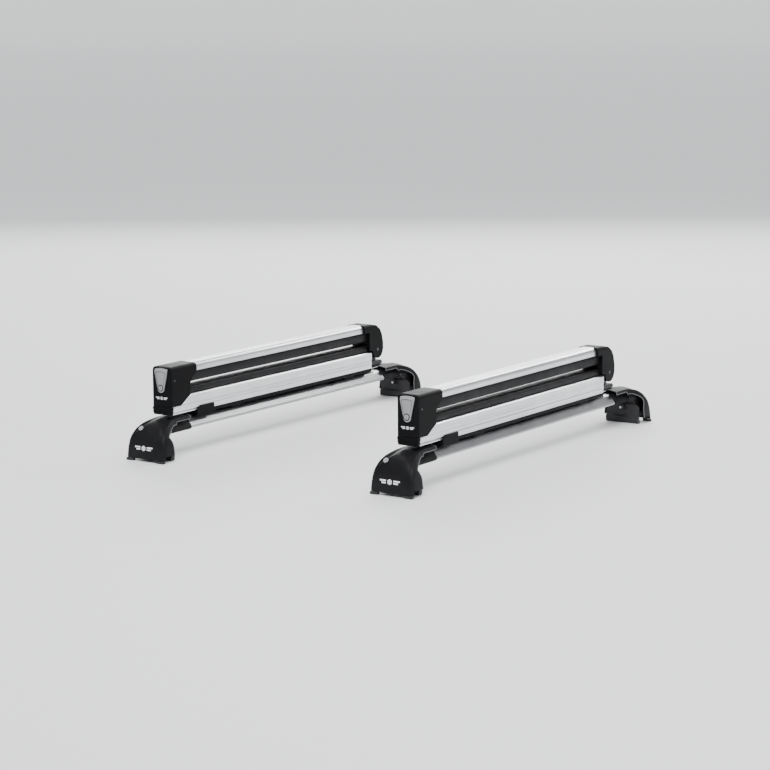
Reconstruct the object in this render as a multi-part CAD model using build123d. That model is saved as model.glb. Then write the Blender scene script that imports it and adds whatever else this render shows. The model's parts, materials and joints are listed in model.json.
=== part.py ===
from build123d import *
import os

# Roof ski rack: two slide-out ski carriers, each on its own roof bar with two rail feet.
# Millimetres.  +X is the vehicle's forward direction, +Y its left side (the hinge side of the
# carriers), +Z up.  The origin is the rack's centre at the height of the claws' undersides.

# ---- driving dimensions ------------------------------------------------------------------
UNIT_SPACING = 700.0        # between the two roof bars
BAR_HALF_LENGTH = 496.0     # each bar ends inside its feet

# roof bar: the hull of four circles (x, z, radius), seen along the bar
NOSE = (24.0, 65.0, 4.0)
CROWN_FRONT = (6.0, 75.0, 13.0)
CROWN_REAR = (-6.0, 75.0, 13.0)
TAIL = (-33.0, 70.0, 3.5)
BAR_TOP = 88.0
BAR_WALL = 2.2
TRACK_MOUTH = 5.0           # half widths of the T-slot
TRACK_CAVITY = 10.0
TRACK_LIP_Z = 85.0
TRACK_FLOOR_Z = 78.5
TRACK_WALL = 2.0
STRIP_HALF_LENGTH = 400.0   # rubber strip over the T-slot
STRIP_ROOT = (7.0, 83.4)    # half width of its root and the root's underside
STRIP_GAP = 0.1
COLLAR_WALL = 2.0
COLLAR_Y = (-480.0, -410.0)

# foot
FOOT_HALF_WIDTH = 58.0
COVER_TOP_HALF = 42.0
COVER_EDGE_R = 8.0
COVER_SPAN = (-65.0, 65.0)   # wider than the cover, for its cutting tools
SCOOP_R = 30.0
SCOOP_X = 81.0
TOWER_Y = -534.0
CLAMP_BOLT_Z = 40.0
CLAMP_BOLT_R = 3.0
JAW_HALF = 46.0
FOOT_LOCK = Location((-26, -529.7, 75.3), (46.6, 0, 0))
RAIL_TOP_Z = 15.0           # the vehicle's roof rail carries the foot pads at this height
PAD_THICKNESS = 4.0
PAD_HALF_X = 42.0
PAD_Y = (-541.0, -508.0)
CLAW_X = (35.0, 56.0)
COVER_WALL = 2.5
COVER_BOTTOM_Z = 6.5
NECK_COVER_HALF = 29.5      # the cover's neck over the bar
NECK_END_Y = -413.0
NECK_LIP_Z = 85.5
RAIL_SLOT_Y = -541.3

# carrier, seen along the bar
SLIDER_Y = (-473.0, 352.0)
SLIDER_BOTTOM = 102.0
SLIDER_TOP = 143.0
SLIDER_HALF = 25.8
NECK_HALF = 20.5
NECK_Z = (104.6, 108.0)
SLIDE_GAP = 0.4
SLIDER_WALL = 2.5
LOWER_CELL_Z = (104.5, 118.5)   # the slider's two hollow cells
UPPER_CELL_Z = (121.0, 137.5)
PLUG_HALF = 17.6            # the end pieces' plugs in the lower cell
PLUG_Z = (105.0, 118.0)
PLUG_LENGTH = 18.0
NOTCH_Z = 121.0             # the slider's near end is cut away above this height
NOTCH_Y = (-445.0, -409.0)
RAIL_Y = (-322.0, 345.0)
RAIL_HALF = 29.0
RAIL_Z = (96.0, 112.0)
RAIL_FOOT_HALF = 27.6       # the rail's foot is narrower and stands in the tray
RAIL_FOOT_Z = 101.0
TRAY_HALF = 29.2
TRAY_BOTTOM = 92.6
RAIL_RELIEF = 48.0          # width of the groove in its floor for bolt heads and the stop lug
RAIL_GROOVE_Z = 104.0
BLOCK_Y = (-385.0, -322.0)
BLOCK_HALF = 30.5
BLOCK_TOP = 111.0
BOLT_Y = (-230.0, 250.0)
BOLT_R = 3.0
BOLT_BORE_R = 3.2
BOLT_HEAD_Z = (98.5, 100.9)
NUT_TOP_Z = 83.2
SLIDE_TRAVEL = 400.0
STOP_LUG_Z = 99.2           # underside of the lug that meets the guide block at full travel
CATCH_NOTCH_Y = (-375.0, -364.0)
CATCH_Y = -360.0            # axis of the slide catch
CATCH_Z = 96.0
CATCH_PIN_R = 2.0

ARM_Y = (-383.5, 318.0)
TENON = 24.0                # length of the plugs that enter the arm's hollow ends
ARM_HALF = 22.5
ARM_Z = (196.0, 217.0)
ARM_CHAMBER_Z = (200.4, 214.8)
ARM_WALL = 2.2
ARM_SHOULDER_R = 12.0
PAD_ROOT_HALF = 10.0
PAD_ROOT_DEPTH = 2.5
UPPER_PAD_Z = 171.0
LOWER_PAD_Z = 161.0
UPPER_PAD_Y = (-409.0, 340.0)
LOWER_PAD_Y = (-408.6, 340.0)

HOUSING_HALF = 28.5
HOUSING_WALL = 3.0
HOUSING_SHOULDER_R = 9.0
HOUSING_CORNER_R = 4.5
HINGE_Y = 378.0
HINGE_Z = 148.0
HINGE_PIN_R = 4.0
RUNNING_GAP = 0.05

PAWL_Y = -467.0
PAWL_Z = 184.0
CROSSBAR_Z = (163.0, 168.0)  # the pawl's crossbar and the button's ribs that push it
PAWL_PIN_R = 2.0
LOCK_Z = 167.0
SPRING_Z = 200.0
LOCK_R = 6.0


# ---- helpers -----------------------------------------------------------------------------
def block(x, y, z):
    """A box from three (low, high) pairs."""
    size = (x[1] - x[0], y[1] - y[0], z[1] - z[0])
    centre = ((x[0] + x[1]) / 2, (y[0] + y[1]) / 2, (z[0] + z[1]) / 2)
    return Pos(*centre) * Box(*size)


def bar_x(y, z, radius, half_length):
    """A cylinder along X, centred on x = 0."""
    return Pos(0, y, z) * Rot(0, 90, 0) * Cylinder(radius, 2 * half_length)


def bar_y(x, z, radius, y):
    """A cylinder along Y between two y values."""
    return Pos(x, (y[0] + y[1]) / 2, z) * Rot(90, 0, 0) * Cylinder(radius, y[1] - y[0])


def bar_z(x, y, radius, z):
    """A cylinder along Z between two z values."""
    return Pos(x, y, (z[0] + z[1]) / 2) * Cylinder(radius, z[1] - z[0])


def along_y(section, y):
    """Extrude an (x, z) face along Y between two y values."""
    placed = Plane.XZ.offset(-y[0]) * section
    return extrude(placed, amount=y[1] - y[0], dir=(0, 1, 0))


def along_x(section, x):
    """Extrude a (y, z) face along X between two x values."""
    placed = Plane.YZ.offset(x[0]) * section
    return extrude(placed, amount=x[1] - x[0], dir=(1, 0, 0))


def outline(*points):
    """A flat face through its corner points."""
    return make_face(Polyline(*points, close=True))


def mirrored(points):
    """Both halves of a symmetric section from the points of its right half, bottom to top."""
    return list(points) + [(-x, z) for x, z in reversed(points)]


def only(shape):
    """The one solid of a result that should be a single solid."""
    solids = shape.solids()
    assert len(solids) == 1, f"{len(solids)} solids"
    return solids[0]


# ---- roof bar ----------------------------------------------------------------------------
def wing_face(grow):
    """The bar's teardrop outline, grown or shrunk by a distance."""
    circles = []
    for x, z, radius in (NOSE, CROWN_FRONT, CROWN_REAR, TAIL):
        circles += (Pos(x, z) * Circle(radius + grow)).edges()
    return make_face(make_hull(circles))


def roof_bar():
    slot_box = Pos(0, (TRACK_FLOOR_Z - TRACK_WALL + BAR_TOP) / 2) * Rectangle(
        2 * (TRACK_CAVITY + TRACK_WALL), BAR_TOP - TRACK_FLOOR_Z + TRACK_WALL)
    chamber = wing_face(-BAR_WALL) - slot_box
    cavity = Pos(0, (TRACK_FLOOR_Z + TRACK_LIP_Z) / 2) * Rectangle(
        2 * TRACK_CAVITY, TRACK_LIP_Z - TRACK_FLOOR_Z)
    mouth = Pos(0, (TRACK_LIP_Z + BAR_TOP) / 2) * Rectangle(2 * TRACK_MOUTH, BAR_TOP + 2 - TRACK_LIP_Z)
    section = wing_face(0) - chamber - cavity - mouth
    return only(along_y(section, (-BAR_HALF_LENGTH, BAR_HALF_LENGTH)))


def track_strip():
    """Rubber strip that closes the T-slot, with holes where the mount bolts pass."""
    length = (-STRIP_HALF_LENGTH, STRIP_HALF_LENGTH)
    lip_half = TRACK_MOUTH - STRIP_GAP
    root_half, root_z = STRIP_ROOT
    strip = block((-lip_half, lip_half), length, (TRACK_LIP_Z, BAR_TOP - STRIP_GAP))
    strip += block((-root_half, root_half), length, (root_z, TRACK_LIP_Z))
    for y in BOLT_Y:
        strip -= bar_z(0, y, BOLT_BORE_R, (root_z - 1, BAR_TOP + 1))
    return only(strip)


def bar_collar():
    """Rubber sleeve that seals the bar where it leaves the foot."""
    ring = along_y(wing_face(COLLAR_WALL) - wing_face(0), COLLAR_Y)
    lip = along_y(wing_face(COLLAR_WALL / 2) - wing_face(0), (COLLAR_Y[1], COLLAR_Y[1] + 3))
    return only(ring + lip)


# ---- slider, rail and guide ---------------------------------------------------------------
def slider_outline(gap):
    """The slider's outer section, grown by a gap for the parts that it slides through."""
    half = SLIDER_HALF + gap
    neck = NECK_HALF + gap
    return mirrored([
        (half, SLIDER_BOTTOM - gap),
        (half, NECK_Z[0] + gap),
        (neck, NECK_Z[0] + gap),
        (neck, NECK_Z[1] - gap),
        (half, NECK_Z[1] - gap),
        (half, SLIDER_TOP + gap),
    ])


def slider():
    wall = SLIDER_WALL
    side = SLIDER_HALF
    section = outline(*mirrored([
        (side, SLIDER_BOTTOM),
        (side, NECK_Z[0]),
        (NECK_HALF, NECK_Z[0]),
        (NECK_HALF, NECK_Z[1]),
        (side, NECK_Z[1]),
        (side, 119.0),
        (side - 1.0, 119.8),
        (side - 1.0, 120.6),
        (side + 0.7, 121.8),
        (side + 0.7, SLIDER_TOP - 2.5),
        (side - 1.8, SLIDER_TOP),
        (PAD_ROOT_HALF + 2, SLIDER_TOP),
        (PAD_ROOT_HALF + 2, SLIDER_TOP - PAD_ROOT_DEPTH),
    ]))
    section -= Pos(0, sum(LOWER_CELL_Z) / 2) * Rectangle(
        2 * (NECK_HALF - wall), LOWER_CELL_Z[1] - LOWER_CELL_Z[0])
    section -= Pos(0, sum(UPPER_CELL_Z) / 2) * Rectangle(
        2 * (side - wall), UPPER_CELL_Z[1] - UPPER_CELL_Z[0])
    body = along_y(section, SLIDER_Y)
    cut = outline(
        (SLIDER_Y[0] - 1, NOTCH_Z), (NOTCH_Y[0], NOTCH_Z), (NOTCH_Y[1], SLIDER_TOP),
        (NOTCH_Y[1], SLIDER_TOP + 2), (SLIDER_Y[0] - 1, SLIDER_TOP + 2))
    body -= along_x(cut, (-40, 40))
    catch_notch = block((-9, 9), CATCH_NOTCH_Y, (SLIDER_BOTTOM - 1, SLIDER_BOTTOM + 4))
    stop_y = RAIL_Y[0] + SLIDE_TRAVEL
    stop_lug = block((14, 19), (stop_y, stop_y + 8), (STOP_LUG_Z, SLIDER_BOTTOM))
    return only(body - catch_notch + stop_lug)


def base_rail():
    low, high = RAIL_Z
    channel = outline(*slider_outline(SLIDE_GAP))
    floor_z = BOLT_HEAD_Z[0]
    relief = Pos(0, (floor_z + SLIDER_BOTTOM) / 2) * Rectangle(RAIL_RELIEF, SLIDER_BOTTOM - floor_z)
    shell = outline(*mirrored([
        (RAIL_FOOT_HALF, low), (RAIL_FOOT_HALF, RAIL_FOOT_Z), (RAIL_HALF, RAIL_FOOT_Z),
        (RAIL_HALF, high)]))
    for side in (-1, 1):
        shell -= Pos(side * RAIL_HALF, RAIL_GROOVE_Z) * Rectangle(1.2, 1.6)
    rail = along_y(shell - channel - relief, RAIL_Y)
    for y in BOLT_Y:
        rail -= bar_z(0, y, BOLT_BORE_R, (low - 1, BOLT_HEAD_Z[0] + 0.5))
    return only(rail)


def guide_block():
    """Plastic guide at the rail's near end, with the pocket and bores of the slide catch."""
    bottom = BAR_TOP + RUNNING_GAP
    profile = outline(
        (BLOCK_Y[0], bottom), (BLOCK_Y[1], bottom), (BLOCK_Y[1], BLOCK_TOP),
        (BLOCK_Y[0] + 16, BLOCK_TOP), (BLOCK_Y[0], BLOCK_TOP - 9))
    body = along_x(profile, (-BLOCK_HALF, BLOCK_HALF))
    body -= along_y(outline(*slider_outline(SLIDE_GAP)), (BLOCK_Y[0] - 1, BLOCK_Y[1] + 1))
    body -= block((-8, 8), (BLOCK_Y[0] - 1, -343), (89.5, SLIDER_BOTTOM))
    body -= bar_x(CATCH_Y, CATCH_Z, CATCH_PIN_R + RUNNING_GAP, 12)
    return only(body)


def slide_catch():
    """Sprung finger lever that holds the slider in; its nose faces a notch under the slider."""
    profile = outline(
        (-394, 94), (-345, 94), (-345, 97), (-352, 98), (-365.6, 98.5), (-366, 101.6),
        (-370, 101.6), (-374, 98.2), (-386, 97.5), (-390, 100.2), (-394, 100.2))
    lever = along_x(profile, (-7.6, 7.6))
    return only(lever + bar_x(CATCH_Y, CATCH_Z, CATCH_PIN_R, 11.5))


def rail_tray():
    """Plastic tray round the base rail's foot, with a seat on the bar at each screw."""
    foot = RAIL_FOOT_HALF + 0.1
    tray = along_y(outline(*mirrored([
        (TRAY_HALF, TRAY_BOTTOM), (TRAY_HALF, RAIL_FOOT_Z - 0.1), (foot, RAIL_FOOT_Z - 0.1),
        (foot, RAIL_Z[0])])), RAIL_Y)
    for y in BOLT_Y:
        seat = block((-26, 26), (y - 22, y + 22), (BAR_TOP, TRAY_BOTTOM))
        tray += fillet(seat.edges().filter_by(Axis.Z), 6)
    for y in BOLT_Y:
        tray -= bar_z(0, y, BOLT_BORE_R, (BAR_TOP - 1, RAIL_Z[0] + 1))
    return only(tray)


def mount_bolt(y):
    """Low-headed screw through rail, tray and strip into the T-slot nut."""
    low, high = BOLT_HEAD_Z
    head = bar_z(0, y, 6.5, BOLT_HEAD_Z) - Pos(0, y, high) * extrude(RegularPolygon(2.4, 6), -1.6)
    return only(head + bar_z(0, y, BOLT_R, (TRACK_FLOOR_Z + 0.5, low)))


def mount_nut(y):
    nut = block((-9.4, 9.4), (y - 9, y + 9), (TRACK_FLOOR_Z + 0.2, NUT_TOP_Z))
    return only(nut - bar_z(0, y, BOLT_R, (TRACK_FLOOR_Z, NUT_TOP_Z + 1)))


def slider_grip():
    """Ribbed end cap that is gripped to draw the slider out, with its plug inside the slider."""
    rows = ((102.3, 105.6, 26.4), (106.6, 112.4, 27.6), (113.4, 120.6, 28.4))
    grip = block((-24.5, 24.5), (-481, -473), (103, 120))
    for low, high, half in rows:
        rib = block((-half, half), (-483, -473), (low, high))
        grip += fillet(rib.edges().filter_by(Axis.Z).group_by(Axis.Y)[0], 2)
    plug = block((-PLUG_HALF, PLUG_HALF), (SLIDER_Y[0], SLIDER_Y[0] + PLUG_LENGTH), PLUG_Z)
    return only(grip + plug)


def latch_keeper():
    """Steel hook on the slider's cut end that the pawl holds."""
    base = block((-8.5, 8.5), (-472.5, -449), (NOTCH_Z, 123))
    post = block((-6, 6), (-472.5, -469.5), (123, 134))
    lip = block((-6, 6), (-469.5, -466.5), (130.5, 134))
    return only(base + post + lip)


# ---- arm ---------------------------------------------------------------------------------
def arm_chamber(inset):
    """The arm's hollow in (x, z), shrunk by an inset for the plugs that enter it."""
    low, high = ARM_CHAMBER_Z
    hollow = Pos(0, (low + high) / 2) * Rectangle(
        2 * (ARM_HALF - ARM_WALL - inset), high - low - 2 * inset)
    return fillet(hollow.vertices().group_by(Axis.Y)[-1], ARM_SHOULDER_R - ARM_WALL - inset)


def upper_arm():
    shell = Pos(0, sum(ARM_Z) / 2) * Rectangle(2 * ARM_HALF, ARM_Z[1] - ARM_Z[0])
    shell = fillet(shell.vertices().group_by(Axis.Y)[-1], ARM_SHOULDER_R)
    shell = fillet(shell.vertices().group_by(Axis.Y)[0], 2.5)
    root = Pos(0, ARM_Z[0] + PAD_ROOT_DEPTH / 2) * Rectangle(2 * PAD_ROOT_HALF, PAD_ROOT_DEPTH)
    return only(along_y(shell - arm_chamber(0) - root, ARM_Y))


def pad(face_z, back_z, half, root, length):
    """Rubber pad: a bulging strip between face_z and back_z with a root in its extrusion."""
    middle = (face_z + back_z) / 2
    strip = Pos(0, middle) * Rectangle(2 * half, abs(back_z - face_z))
    order = -1 if face_z > back_z else 0
    strip = fillet(strip.vertices().group_by(Axis.Y)[order], 7)
    depth = PAD_ROOT_DEPTH if back_z > face_z else -PAD_ROOT_DEPTH
    strip += Pos(0, back_z + depth / 2) * Rectangle(2 * root, PAD_ROOT_DEPTH)
    return only(along_y(strip, length))


def latch_housing():
    profile = outline(
        (-482, 121.5), (-445, 121.5), (-409.5, 143.8), (-409.5, 172), (-400, 184),
        (-384, 196), (-384, 217), (-474, 217), (-480, 214.5), (-482, 209))
    body = along_x(profile, (-HOUSING_HALF, HOUSING_HALF))
    shoulders = body.edges().filter_by(Axis.Y).group_by(Axis.Z)[-1]
    body = fillet(shoulders, HOUSING_SHOULDER_R)
    corners = body.edges().filter_by(Axis.Z).group_by(Axis.Y)[0]
    body = fillet(corners, HOUSING_CORNER_R)
    hollow = outline(
        (-478.8, 124.5), (-446, 124.5), (-413, 145), (-413, 170), (-413, 190), (-420, 195),
        (-420, 208), (-476, 208), (-478.8, 205))
    inner = HOUSING_HALF - HOUSING_WALL
    body -= along_x(hollow, (-inner, inner))
    body -= along_y(button_face(0.35), (-484, -470))
    body -= block((-10, 10), (-476, -446.5), (120, 126))
    body -= block((-20.2, 20.2), (-414, -380), (UPPER_PAD_Z - 0.1, ARM_Z[0] + 0.1))
    body -= block((-10.1, 10.1), (-414, -380), (ARM_Z[0], ARM_Z[0] + PAD_ROOT_DEPTH + 0.1))
    body += along_y(arm_chamber(0.1), (-384.5, ARM_Y[0] + TENON))
    body += block((-8, 8), (-465.2, -462), (192, 209))
    body -= bar_x(PAWL_Y, PAWL_Z, PAWL_PIN_R, 30)
    return only(body)


def button_face(grow):
    """The push button's shield outline in (x, z), grown by a gap."""
    shape = outline(
        (-19 - grow, 213.6 + grow), (-18.6 - grow, 203), (-9.2 - grow, 160),
        (9.2 + grow, 160), (18.6 + grow, 203), (19 + grow, 213.6 + grow))
    low = Pos(0, 165) * Circle(9.5 + grow) - Pos(0, 172) * Rectangle(60, 20)
    shape += low
    return shape


def push_button():
    plate = along_y(button_face(0), (-485.5, -482))
    skirt_shape = offset(button_face(0), -0.1) - offset(button_face(0), -2.2)
    skirt = along_y(skirt_shape, (-482, -478))
    bore = bar_y(0, LOCK_Z, LOCK_R + RUNNING_GAP, (-490, -470))
    body = plate + skirt
    for side in (-1, 1):
        body += block(sorted((side * 8.2, side * 10.0)), (-482, -467.2), CROSSBAR_Z)
    boss = bar_y(0, LOCK_Z, LOCK_R + 1.6, (-482, -476))
    guide = bar_y(0, SPRING_Z, 3.0, (-482, -474))
    brow = outline((-490, 206), (-485.5, 206), (-483.6, 211), (-481, 214), (-481, 220), (-490, 220))
    return only(body + boss + guide - bore - along_x(brow, (-30, 30)))


def button_spring():
    turns = Helix(pitch=3.2, height=15.0, radius=4.2, center=(0, 0, 0), direction=(0, 0, 1))
    start = Plane(origin=turns @ 0, z_dir=turns % 0)
    coil = sweep(start * Circle(0.5), path=turns)
    return only(Pos(0, -480.9, SPRING_Z) * Rot(-90, 0, 0) * coil)


def lock_cylinder():
    barrel = bar_y(0, LOCK_Z, LOCK_R, (-486.4, -472))
    key_way = block((-0.7, 0.7), (-487, -481), (LOCK_Z - 3, LOCK_Z + 3))
    cam = block((-3, 3), (-472, -470.4), (LOCK_Z - 5, LOCK_Z + 5))
    return only(barrel - key_way + cam)


def latch_pawl():
    hub = bar_x(PAWL_Y, PAWL_Z, 4.0, 8)
    axle = bar_x(PAWL_Y, PAWL_Z, PAWL_PIN_R - RUNNING_GAP, HOUSING_HALF + 0.1)
    arm = outline(
        (-466, 184), (-463, 184), (-457.5, 130), (-457.5, 126), (-465.9, 126), (-464.2, 130),
        (-461, 130), (-466, 162))
    cross = block((-11, 11), (-466, -462.5), CROSSBAR_Z)
    return only(hub + axle + along_x(arm, (-4, 4)) + cross)


# ---- far hinge ---------------------------------------------------------------------------
def hinge_bracket():
    """Knuckle and base that close the slider's far end and carry the arm's pin."""
    base = outline((352, 103), (402, 103), (402, 112), (398, 117), (352, 117))
    flange = block((-23, 23), (352, 354.5), (103, 142))
    body = along_x(base, (-25, 25)) + flange
    body &= along_y(outline(*slider_outline(-0.1)), (352, 402))
    knuckle = outline((352, 103), (395, 103), (391, 148), (365, 148), (352, 140))
    body += along_x(knuckle, (-10, 10)) + bar_x(HINGE_Y, HINGE_Z, 13, 10)
    body += block((-PLUG_HALF, PLUG_HALF), (SLIDER_Y[1] - PLUG_LENGTH, SLIDER_Y[1]), PLUG_Z)
    return only(body - bar_x(HINGE_Y, HINGE_Z, HINGE_PIN_R, 40))


def hinge_pin():
    pin = bar_x(HINGE_Y, HINGE_Z, HINGE_PIN_R, HOUSING_HALF)
    return only(chamfer(pin.edges(), 0.6))


def hinge_cap():
    """Cap on the arm's far end: a hood over the pads' ends and two cheeks on the pin."""
    start = ARM_Y[1] + 0.3
    hood = outline(
        (start, 196), (340.5, 196), (340.5, 150), (356, 142), (HINGE_Y, 124.5), (402.5, 148),
        (402.5, 165), (397, 187), (388, 201), (371, 213), (352, 217), (start, 217))
    body = along_x(hood, (-HOUSING_HALF, HOUSING_HALF))
    shoulders = body.edges().filter_by(Axis.Y).group_by(Axis.Z)[-1]
    body = fillet(shoulders, HOUSING_SHOULDER_R)
    body += bar_x(HINGE_Y, HINGE_Z, 23.5, HOUSING_HALF)
    body -= block((-10.1, 10.1), (310, 340.5), (195, ARM_Z[0] + PAD_ROOT_DEPTH + 0.1))
    body += along_y(arm_chamber(0.1), (ARM_Y[1] - TENON, start + 1))
    body -= block((-10.6, 10.6), (345, 410), (110, 172))
    body -= block((-30, 30), (310, 354.9), (110, 146))
    return only(body - bar_x(HINGE_Y, HINGE_Z, HINGE_PIN_R + RUNNING_GAP, 40))


# ---- foot, modelled at the right (near) side ----------------------------------------------
def cover_side_face():
    """The foot cover's outer side profile in (y, z), before the bar side is cut away."""
    shoulder = ThreePointArc((-470, 97), (-526, 79), (-549, 30))
    rest = Polyline(
        (-549, 30), (-550, COVER_BOTTOM_Z), (-405, COVER_BOTTOM_Z), (-405, 97), (-470, 97))
    return make_face(shoulder + rest)


def cover_front_face(inset):
    """The cover's outline in (x, z), seen from outside."""
    half = FOOT_HALF_WIDTH - inset
    top_half = COVER_TOP_HALF - inset
    base = Line((-half, 0), (half, 0))
    right = ThreePointArc((half, 0), (half - 4, 50), (top_half, 98))
    top = Line((top_half, 98), (-top_half, 98))
    left = ThreePointArc((-top_half, 98), (4 - half, 50), (-half, 0))
    return make_face(base + right + top + left)


def cover_scoop(side, inset):
    """Leaning cylinder that hollows the cover's flank into a flare towards the bar."""
    axis = Location((side * SCOOP_X, -526, 30), (-18, side * 3, 0))
    return axis * Cylinder(SCOOP_R + inset, 150)


def bar_side_cut():
    """What is cut from the cover's flanks to let the bar and its collar out."""
    return outline(
        (-508, 0), (-508, 24), (-510, 47), (-517, 58), (-511, 67), (-493, 76.2), (-482, 79.6), (-466, 79.6),
        (-466, NECK_LIP_Z), (NECK_END_Y, NECK_LIP_Z), (NECK_END_Y, 100), (-400, 100), (-400, 0))


def neck_side_cut(side):
    """Plan-view sweep that narrows the cover's shoulder to the neck over the bar."""
    sweep_in = ThreePointArc((side * 64, -504), (side * 42, -486), (side * NECK_COVER_HALF, -460))
    rest = Polyline(
        (side * NECK_COVER_HALF, -460), (side * NECK_COVER_HALF, -400), (side * 64, -400),
        (side * 64, -504))
    return extrude(make_face(sweep_in + rest), amount=110)


def foot_cover():
    """Lockable shell over the foot, open to the bar side and underneath."""
    shell = along_x(cover_side_face(), COVER_SPAN) & along_y(cover_front_face(0), (-560, -400))
    rim = [e for e in shell.edges() if abs(e.center().X) > 30 and e.center().Z > 8
           and e.bounding_box().size.X < 20 and e.center().Y < -406]
    shell = fillet(rim, COVER_EDGE_R)
    roof = ThreePointArc((-470, 94), (-524, 76.4), (-546.4, 30))
    hollow = make_face(roof + Polyline(
        (-546.4, 30), (-547.4, 0), (-400, 0), (-400, 94), (-470, 94)))
    inner = along_x(hollow, COVER_SPAN) & along_y(cover_front_face(COVER_WALL), (-560, -390))
    for side in (-1, 1):
        shell -= cover_scoop(side, 0)
        shell -= neck_side_cut(side)
        inner -= cover_scoop(side, COVER_WALL)
        inner -= Pos(-side * COVER_WALL, -COVER_WALL, 0) * neck_side_cut(side)
    shell -= inner
    shell -= block(COVER_SPAN, (RAIL_SLOT_Y, -500), (0, RAIL_TOP_Z + 0.3))
    shell -= along_x(bar_side_cut(), COVER_SPAN)
    shell -= foot_lock_shape(LOCK_R + RUNNING_GAP, 4)
    return only(shell)


def foot_lock_shape(radius, extra):
    """A cylinder along the lock's sloping axis; its local Z leaves the cover."""
    return FOOT_LOCK * Pos(0, 0, -4 + extra / 2) * Cylinder(radius, 9 + extra)


def foot_lock():
    plug = foot_lock_shape(LOCK_R, 0)
    key_way = FOOT_LOCK * Box(1.4, 6, 3)
    cam = FOOT_LOCK * Pos(3, 0, -9.5) * Box(12, 5, 2)
    return only(plug - key_way + cam)


def foot_frame():
    """Cast carrier inside the foot: base on the pad, tower, cup for the bar and outer claws."""
    pad_top = RAIL_TOP_Z + PAD_THICKNESS
    base = block((-PAD_HALF_X, PAD_HALF_X), (-544, -504), (pad_top, pad_top + 7))
    tower = block((-30, 30), (TOWER_Y, -504.5), (pad_top + 7, 62))
    tower -= block((-13, 13), (TOWER_Y + 4, -508), (pad_top + 7, 50))
    frame = base + tower + saddle_cup()
    for side in (-1, 1):
        frame += claw(side)
    frame -= bar_y(0, CLAMP_BOLT_Z, CLAMP_BOLT_R + 0.6, (-560, -470))
    return only(frame)


def saddle_cup():
    """Cup under and behind the bar's end that the bar is clamped into."""
    cup = along_y(wing_face(4), (-514, -488)) & block((-36, 36), (-520, -480), (50, 76))
    return cup - along_y(wing_face(0), (-BAR_HALF_LENGTH, -470))


def claw(side):
    """One outer claw: an upright behind the cover and a hook under the rail's edge."""
    inner, outer = CLAW_X
    upright = block(sorted((side * inner, side * (outer - 10))), (-545.6, -541.5), (0, 24))
    hook = block(sorted((side * inner, side * outer)), (-550, -541.5), (0, 5.5))
    return upright + hook


def foot_pad():
    pad_block = block((-PAD_HALF_X, PAD_HALF_X), PAD_Y, (RAIL_TOP_Z, RAIL_TOP_Z + PAD_THICKNESS))
    return only(fillet(pad_block.edges().filter_by(Axis.Z), 4))


def clamp_hook():
    """Inner jaw that the clamp bolt draws towards the claws."""
    profile = outline(
        (-503, 48), (-498.5, 48), (-498.5, 20), (-494, 15), (-494, 3), (-497, 0), (-507.6, 0),
        (-507.6, 6), (-503.6, 10), (-503.4, 30))
    jaw = along_x(profile, (-JAW_HALF, JAW_HALF))
    jaw = chamfer(jaw.edges().filter_by(Axis.Y).group_by(Axis.Z)[-1], 8)
    nut = bar_y(0, CLAMP_BOLT_Z, 7, (-498.5, -492))
    return only(jaw + nut - bar_y(0, CLAMP_BOLT_Z, CLAMP_BOLT_R + RUNNING_GAP, (-520, -480)))


def clamp_bolt():
    head_y = (TOWER_Y - 7, TOWER_Y - 0.4)
    head = bar_y(0, CLAMP_BOLT_Z, 6.5, head_y)
    socket = Pos(0, head_y[0], CLAMP_BOLT_Z) * Rot(90, 0, 0) * extrude(RegularPolygon(3, 6), -4)
    return only(head + bar_y(0, CLAMP_BOLT_Z, CLAMP_BOLT_R, (head_y[1], -486)) - socket)


# ---- assembly ----------------------------------------------------------------------------
SIDES = ("right", "left")
UNITS = {"front": Pos(UNIT_SPACING / 2, 0, 0), "rear": Pos(-UNIT_SPACING / 2, 0, 0)}


def on_side(side, piece):
    """A foot's piece on its side of the rack; the left feet mirror the right ones."""
    return piece if side == "right" else mirror(piece, about=Plane.XZ)


def carrier_parts():
    return {
        "slider": slider(),
        "lower_pad": pad(LOWER_PAD_Z, SLIDER_TOP, 19, PAD_ROOT_HALF + 2, LOWER_PAD_Y),
        "slider_grip": slider_grip(),
        "latch_keeper": latch_keeper(),
        "hinge_bracket": hinge_bracket(),
        "hinge_pin": hinge_pin(),
        "slide_catch": slide_catch(),
        "upper_arm": upper_arm(),
        "upper_pad": pad(UPPER_PAD_Z, ARM_Z[0], 20, PAD_ROOT_HALF, UPPER_PAD_Y),
        "latch_housing": latch_housing(),
        "hinge_cap": hinge_cap(),
        "push_button": push_button(),
        "button_spring": button_spring(),
        "lock_cylinder": lock_cylinder(),
        "latch_pawl": latch_pawl(),
        "roof_bar": roof_bar(),
        "base_rail": base_rail(),
    }


def foot_parts():
    return {
        "foot_cover": foot_cover(),
        "foot_lock": foot_lock(),
        "clamp_hook": clamp_hook(),
        "clamp_bolt": clamp_bolt(),
    }


def shared_parts():
    """Nodes that hold every copy of one small piece."""
    unit_pieces = {
        "track_strips": [track_strip()],
        "guide_blocks": [guide_block()],
        "rail_trays": [rail_tray()],
        "mount_bolts": [mount_bolt(y) for y in BOLT_Y],
        "mount_nuts": [mount_nut(y) for y in BOLT_Y],
        "bar_collars": [on_side(side, bar_collar()) for side in SIDES],
        "foot_pads": [on_side(side, foot_pad()) for side in SIDES],
    }
    return {
        name: [unit * piece for unit in UNITS.values() for piece in pieces]
        for name, pieces in unit_pieces.items()
    }


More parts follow.
